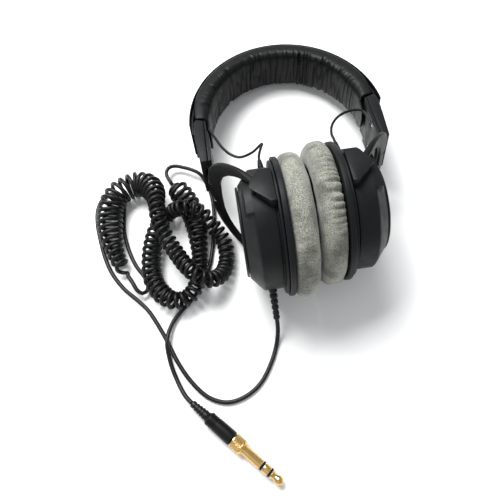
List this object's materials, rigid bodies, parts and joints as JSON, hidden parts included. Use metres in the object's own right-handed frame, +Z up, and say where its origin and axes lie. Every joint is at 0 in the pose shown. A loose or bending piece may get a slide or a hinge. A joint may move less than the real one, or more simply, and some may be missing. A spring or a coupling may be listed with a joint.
{
  "type": "closed-back studio headphones",
  "caption": "Closed-back over-ear headphones with velour pads, padded sliding headband, fork-hung tilting cups and a coiled cord ending in a gold jack plug.",
  "frame": {"origin": "on the resting surface, under the middle of the headphones' box without the cord", "axes": "+X runs from the left cup to the right cup, +Y from the cups to the top of the headband, +Z up"},
  "size_m": [0.2298, 0.3299, 0.0966],
  "materials": {
    "velour": "soft pile",
    "foam": "open-cell foam",
    "felt": "pressed felt",
    "charcoal_plastic": "fine satin texture",
    "black_plastic": "satin",
    "leatherette": "fine grain",
    "fork_metal": "satin black",
    "screw_steel": "satin",
    "spring_steel": "blued",
    "grille_steel": "perforated",
    "magnet_iron": "plain",
    "film": "clear film",
    "cord_rubber": "satin",
    "plug_gold": "polished plating"
  },
  "bodies": {
    "headband": {"headband_cushion": "leatherette", "headband_spring_band": "spring_steel", "headband_cover": "leatherette", "left_housing_outer": "charcoal_plastic", "left_housing_lid": "charcoal_plastic", "left_lid_screw_upper": "screw_steel", "left_lid_screw_lower": "screw_steel", "left_band_rivet": "screw_steel", "left_detent_spring": "spring_steel", "right_housing_outer": "charcoal_plastic", "right_housing_lid": "charcoal_plastic", "right_lid_screw_upper": "screw_steel", "right_lid_screw_lower": "screw_steel", "right_band_rivet": "screw_steel", "right_detent_spring": "spring_steel"},
    "left_fork_body": {"left_fork": "fork_metal", "cord_main": "cord_rubber", "cord_coil": "cord_rubber", "cord_tail": "cord_rubber", "plug_boot": "cord_rubber", "plug_body": "black_plastic", "plug_adapter": "plug_gold", "plug_ring_sleeve": "black_plastic", "plug_ring_contact": "plug_gold", "plug_ring_tip": "black_plastic", "plug_tip": "plug_gold"},
    "right_fork_body": {"right_fork": "fork_metal"},
    "left_cup": {"left_ear_pad": "velour", "left_foam_disc": "foam", "left_baffle": "charcoal_plastic", "left_driver_grille": "grille_steel", "left_driver_diaphragm": "film", "left_driver_frame": "charcoal_plastic", "left_driver_magnet": "magnet_iron", "left_damping_felt": "felt", "left_cup_shell": "charcoal_plastic", "left_back_cap": "charcoal_plastic", "left_pivot_cover_upper": "charcoal_plastic", "left_pivot_cover_lower": "charcoal_plastic", "left_pivot_pin_upper": "screw_steel", "left_pivot_pin_lower": "screw_steel", "left_lead_relief": "cord_rubber", "left_cross_lead": "cord_rubber", "cord_relief": "cord_rubber"},
    "right_cup": {"right_ear_pad": "velour", "right_foam_disc": "foam", "right_baffle": "charcoal_plastic", "right_driver_grille": "grille_steel", "right_driver_diaphragm": "film", "right_driver_frame": "charcoal_plastic", "right_driver_magnet": "magnet_iron", "right_damping_felt": "felt", "right_cup_shell": "charcoal_plastic", "right_back_cap": "charcoal_plastic", "right_pivot_cover_upper": "charcoal_plastic", "right_pivot_cover_lower": "charcoal_plastic", "right_pivot_pin_upper": "screw_steel", "right_pivot_pin_lower": "screw_steel", "right_lead_relief": "cord_rubber", "right_cross_lead": "cord_rubber"}
  },
  "joints": [
    {"name": "left_slide", "type": "slide", "parent": "headband", "child": "left_fork_body", "axis": [0, -0.9839, 0.1788], "range_m": [-0.005, 0.025], "deforming": ["cord_coil", "cord_tail"]},
    {"name": "right_slide", "type": "slide", "parent": "headband", "child": "right_fork_body", "axis": [0, -0.9839, 0.1788], "range_m": [0, 0.03]},
    {"name": "left_tilt", "type": "hinge", "parent": "left_fork_body", "child": "left_cup", "pos_m": [-0.03, -0.06401, 0.04829], "axis": [0, 0.1788, 0.9839], "range_deg": [-10, 10], "deforming": ["left_ear_pad", "left_cross_lead", "cord_main"]},
    {"name": "right_tilt", "type": "hinge", "parent": "right_fork_body", "child": "right_cup", "pos_m": [0.03, -0.05893, 0.04829], "axis": [0, 0.1788, 0.9839], "range_deg": [-10, 10], "deforming": ["right_ear_pad", "right_cross_lead"]}
  ]
}
